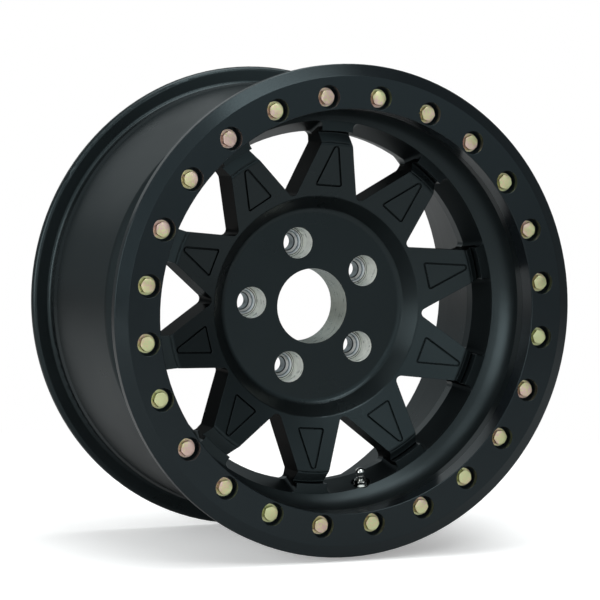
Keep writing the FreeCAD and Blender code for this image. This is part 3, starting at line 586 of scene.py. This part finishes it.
lift = addNode(floorTree, "ShaderNodeMath", {0: toCamera, 1: floorSet["lift"]}, operation="MULTIPLY")
glow = addNode(floorTree, "ShaderNodeEmission", {
    "Color": linear(floorSet["colour"]), "Strength": lift.outputs[0]})
near = addNode(floorTree, "ShaderNodeAddShader", {0: matt.outputs[0], 1: glow.outputs[0]})
white = addNode(floorTree, "ShaderNodeEmission", {"Color": linear(floorSet["colour"]), "Strength": 1.0})
plain = addNode(floorTree, "ShaderNodeMath", {0: toCamera, 1: far.outputs["Result"]}, operation="MULTIPLY")
finishMaterial(floorTree, addNode(floorTree, "ShaderNodeMixShader", {
    0: plain.outputs[0], 1: near.outputs[0], 2: white.outputs[0]}))
floorMesh.materials.append(floorPaint)

# The studio around it: white to the camera, a plain fill for the matt light, and for the sheen a grey room.
# The room is palest in front, darkest in a band beside that and straight behind, and dimmed to the right.
# Each level has its place along an axis, from 0 at the negative end to 1 at the positive end.
roomSet = {
    "fill": 0.32, "tint": (0.88, 1.0, 1.03),
    "alongY": ((0.0, 0.72), (0.08, 0.64), (0.22, 0.16), (0.3, 0.16), (0.38, 0.3),
               (0.7, 0.26), (0.92, 0.28), (0.95, 0.17), (1.0, 0.17)),
    "alongX": ((0.0, 1.0), (0.65, 1.0), (0.9, 0.7), (1.0, 0.7)),
}
world = bpy.data.worlds.new("studio")
scene.world = world
world.use_nodes = True
sky = world.node_tree
sky.nodes.clear()
rays = addNode(sky, "ShaderNodeLightPath").outputs
around = addNode(sky, "ShaderNodeTexCoord").outputs["Generated"]
direction = addNode(sky, "ShaderNodeSeparateXYZ", {0: around})
levels = []
for axis, tint in (("Y", roomSet["tint"]), ("X", (1.0, 1.0, 1.0))):
    share = addNode(sky, "ShaderNodeMapRange", {"Value": direction.outputs[axis], "From Min": -1.0})
    ramp = addNode(sky, "ShaderNodeValToRGB", {"Fac": share.outputs["Result"]})
    fillRamp(ramp, [(position, [level * channel for channel in tint] + [1.0])
                    for position, level in roomSet["along" + axis]])
    levels.append(ramp.outputs["Color"])
room = addNode(sky, "ShaderNodeMix", {"Factor": 1.0, "A": levels[0], "B": levels[1]},
               data_type="RGBA", blend_type="MULTIPLY")
shown = addNode(sky, "ShaderNodeMath", {0: rays["Is Camera Ray"], 1: rays["Is Transmission Ray"]},
                operation="MAXIMUM")
mirror = addNode(sky, "ShaderNodeMix", {
    "Factor": rays["Is Glossy Ray"], "A": [roomSet["fill"]] * 3 + [1.0], "B": room.outputs["Result"]},
    data_type="RGBA")
final = addNode(sky, "ShaderNodeMix", {
    "Factor": shown.outputs[0], "A": mirror.outputs["Result"], "B": linear("#ffffff")}, data_type="RGBA")
addNode(sky, "ShaderNodeOutputWorld", {
    "Surface": addNode(sky, "ShaderNodeBackground", {"Color": final.outputs["Result"]}).outputs[0]})

# Softboxes that face the wheel: where each hangs, its width and height, and how bright its cloth is.
clothTint = (0.97, 1.0, 1.0)
softboxes = {
    "aboveCamera": ((0.22, -1.64, 1.52), (1.1, 0.62), 3.6),
    "left": ((-2.4, -0.9, 0.55), (1.4, 1.5), 3.0),
    "beside": ((-0.62, -2.7, 0.1), (0.75, 0.6), 0.8),
    "behind": ((-0.4, 2.2, 1.1), (1.8, 1.0), 0.32),
    "high": ((-1.55, -0.9, 1.95), (1.2, 1.2), 1.3),
    "overhead": ((0.2, -0.2, 2.4), (2.0, 2.0), 3.2),
    "mattFill": ((-1.75, -2.2, 0.2), (1.2, 1.2), 10.0),  # lights what is matt, and isn't mirrored
}
for name, (place, (width, height), cloth) in softboxes.items():
    lamp = bpy.data.lights.new(name, "AREA")
    lamp.shape = "RECTANGLE"
    lamp.size, lamp.size_y = width, height
    lamp.energy = cloth * math.pi * width * height
    lamp.color = clothTint
    box = bpy.data.objects.new(name, lamp)
    box.location = place
    box.rotation_euler = (-Vector(place)).to_track_quat("-Z", "Y").to_euler()
    box.visible_camera = False
    box.visible_glossy = name != "mattFill"
    scene.collection.objects.link(box)
scene.view_settings.view_transform = "Standard"

# The camera, from the way that the bolt circle lies in the picture: the ring's middle is at one pixel.
cameraSet = {
    "azimuth": -22.66, "elevation": 3.50, "roll": 0.82, "aim": (0.0, -0.134, 0.0), "distance": 2.308,
    "focalPixels": 2454.0, "frame": 600.0, "sensor": 36.0, "aimPixel": (349.8, 312.1),
}
azimuth, elevation, roll = (math.radians(cameraSet[k]) for k in ("azimuth", "elevation", "roll"))
back = Vector((math.sin(azimuth) * math.cos(elevation), -math.cos(azimuth) * math.cos(elevation),
               math.sin(elevation)))
flatRight = Vector((math.cos(azimuth), math.sin(azimuth), 0.0))
rolled = Matrix.Rotation(roll, 3, back)
right = rolled @ flatRight
up = rolled @ back.cross(flatRight)
perPixel = cameraSet["distance"] / cameraSet["focalPixels"]
across = (cameraSet["aimPixel"][0] - cameraSet["frame"] / 2) * perPixel
down = (cameraSet["aimPixel"][1] - cameraSet["frame"] / 2) * perPixel
lens = bpy.data.cameras.new("camera")
lens.sensor_width = cameraSet["sensor"]
lens.lens = cameraSet["focalPixels"] / cameraSet["frame"] * cameraSet["sensor"]
camera = bpy.data.objects.new("camera", lens)
camera.matrix_world = Matrix((right, up, back)).transposed().to_4x4()
camera.location = Vector(cameraSet["aim"]) - right * across + up * down + back * cameraSet["distance"]
scene.collection.objects.link(camera)
scene.camera = camera
print("stage done")
